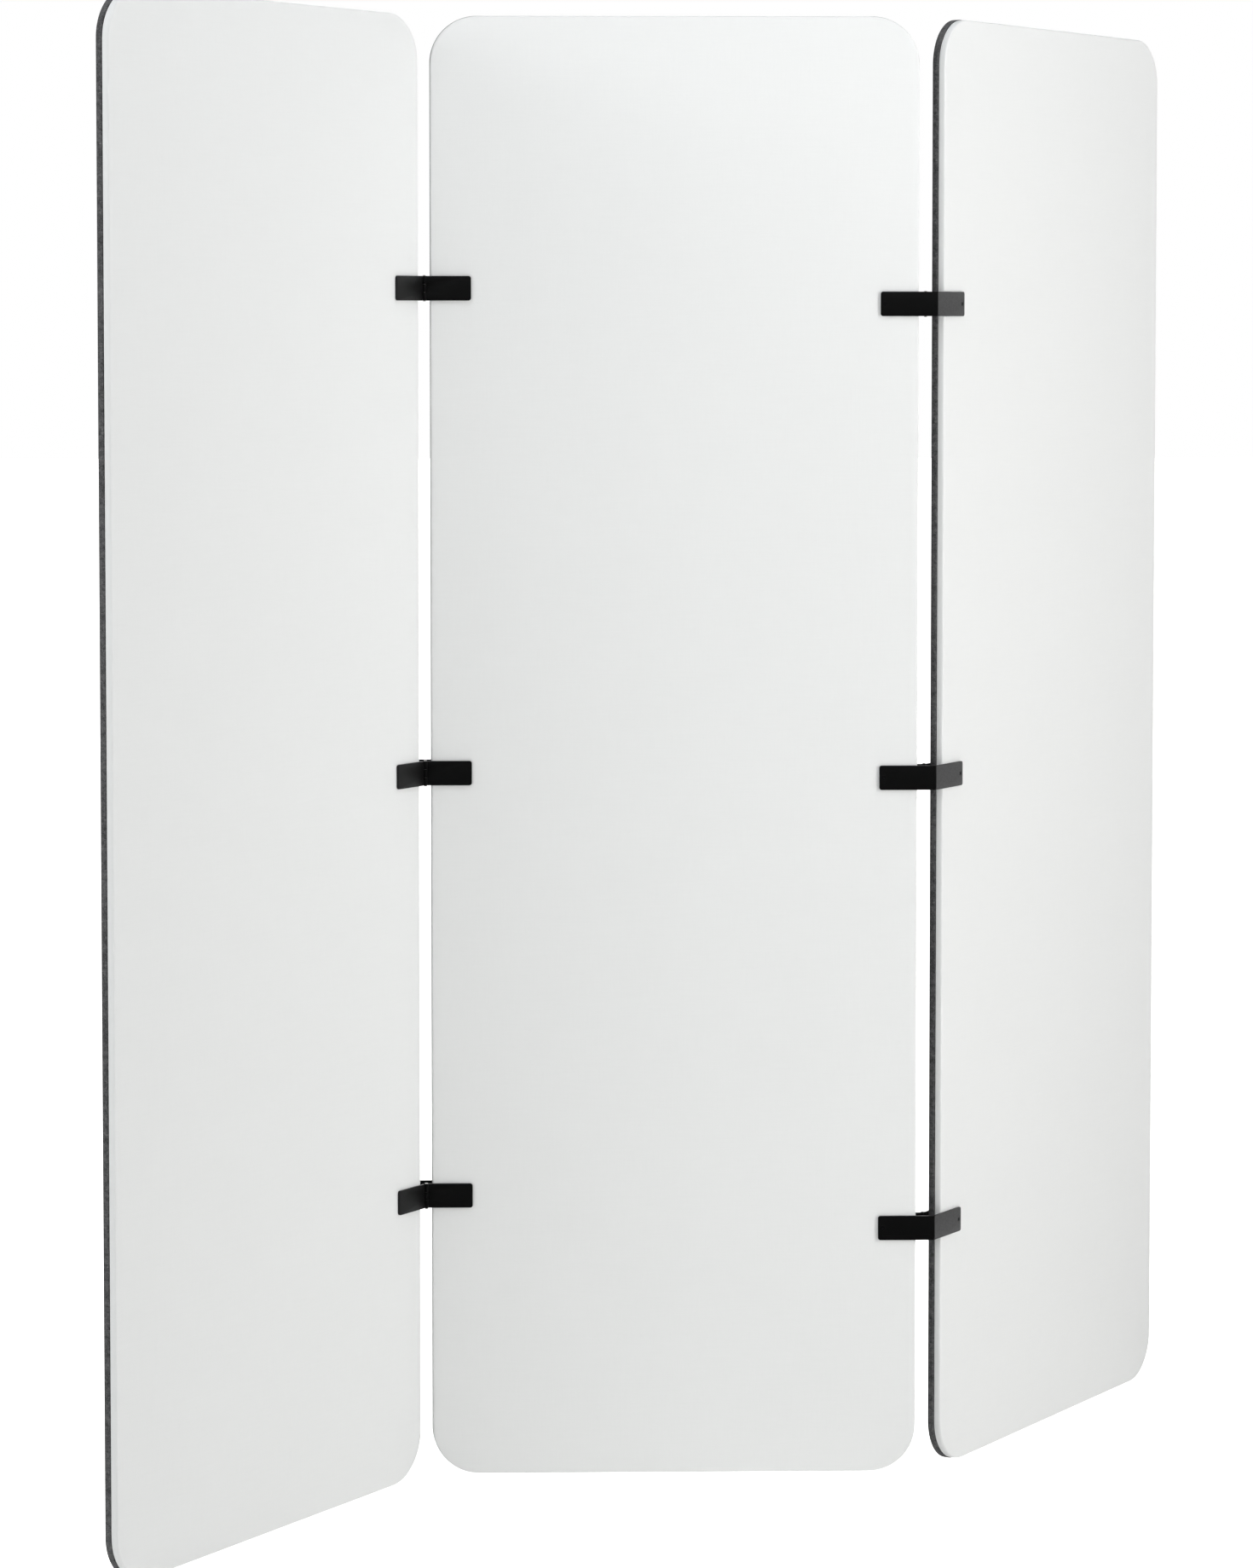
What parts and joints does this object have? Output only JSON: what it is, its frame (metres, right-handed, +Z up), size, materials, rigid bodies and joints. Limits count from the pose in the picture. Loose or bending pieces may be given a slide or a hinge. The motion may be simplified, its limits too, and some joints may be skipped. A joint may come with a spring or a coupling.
{
  "type": "folding room divider screen",
  "caption": "Free-standing folding room divider: tall rounded panels with a white fabric front and a grey felt back, joined by black steel hinges so that the wings fold flat in a Z.",
  "frame": {"origin": "floor level under the middle of the centre panel, which is the bottom centre of the whole screen's box", "axes": "+Z up; the centre panel's white front faces -Y and +X is to the right as seen from the front"},
  "size_m": [1.3229, 1.0322, 1.8],
  "materials": {
    "felt_grey": "matte",
    "pad_fibre": "matte",
    "fabric_white": "matte",
    "steel_black": "satin",
    "pin_steel": "satin",
    "screw_black": "satin"
  },
  "bodies": {
    "centre_panel": {"centre_panel_fabric_cover": "fabric_white", "centre_panel_felt_board": "felt_grey", "centre_panel_pad_core": "pad_fibre", "left_bottom_hinge_leaf_centre": "steel_black", "left_bottom_hinge_pin": "pin_steel", "left_bottom_screw_centre": "screw_black", "left_bottom_stop_plate_centre": "steel_black", "left_middle_hinge_leaf_centre": "steel_black", "left_middle_hinge_pin": "pin_steel", "left_middle_screw_centre": "screw_black", "left_middle_stop_plate_centre": "steel_black", "left_top_hinge_leaf_centre": "steel_black", "left_top_hinge_pin": "pin_steel", "left_top_screw_centre": "screw_black", "left_top_stop_plate_centre": "steel_black", "right_bottom_hinge_leaf_centre": "steel_black", "right_bottom_hinge_pin": "pin_steel", "right_bottom_screw_centre": "screw_black", "right_bottom_stop_plate_centre": "steel_black", "right_middle_hinge_leaf_centre": "steel_black", "right_middle_hinge_pin": "pin_steel", "right_middle_screw_centre": "screw_black", "right_middle_stop_plate_centre": "steel_black", "right_top_hinge_leaf_centre": "steel_black", "right_top_hinge_pin": "pin_steel", "right_top_screw_centre": "screw_black", "right_top_stop_plate_centre": "steel_black"},
    "left_wing": {"left_bottom_hinge_leaf_wing": "steel_black", "left_bottom_screw_wing": "screw_black", "left_bottom_stop_plate_wing": "steel_black", "left_middle_hinge_leaf_wing": "steel_black", "left_middle_screw_wing": "screw_black", "left_middle_stop_plate_wing": "steel_black", "left_panel_fabric_cover": "fabric_white", "left_panel_felt_board": "felt_grey", "left_panel_pad_core": "pad_fibre", "left_top_hinge_leaf_wing": "steel_black", "left_top_screw_wing": "screw_black", "left_top_stop_plate_wing": "steel_black"},
    "right_wing": {"right_bottom_hinge_leaf_wing": "steel_black", "right_bottom_screw_wing": "screw_black", "right_bottom_stop_plate_wing": "steel_black", "right_middle_hinge_leaf_wing": "steel_black", "right_middle_screw_wing": "screw_black", "right_middle_stop_plate_wing": "steel_black", "right_panel_fabric_cover": "fabric_white", "right_panel_felt_board": "felt_grey", "right_panel_pad_core": "pad_fibre", "right_top_hinge_leaf_wing": "steel_black", "right_top_screw_wing": "screw_black", "right_top_stop_plate_wing": "steel_black"}
  },
  "joints": [
    {"name": "left_fold", "type": "hinge", "parent": "centre_panel", "child": "left_wing", "pos_m": [-0.3065, -0.0122, 0], "axis": [0, 0, 1], "range_deg": [0, 123.6]},
    {"name": "right_fold", "type": "hinge", "parent": "centre_panel", "child": "right_wing", "pos_m": [0.3095, 0.0122, 0], "axis": [0, 0, 1], "range_deg": [0, 123.6]}
  ]
}
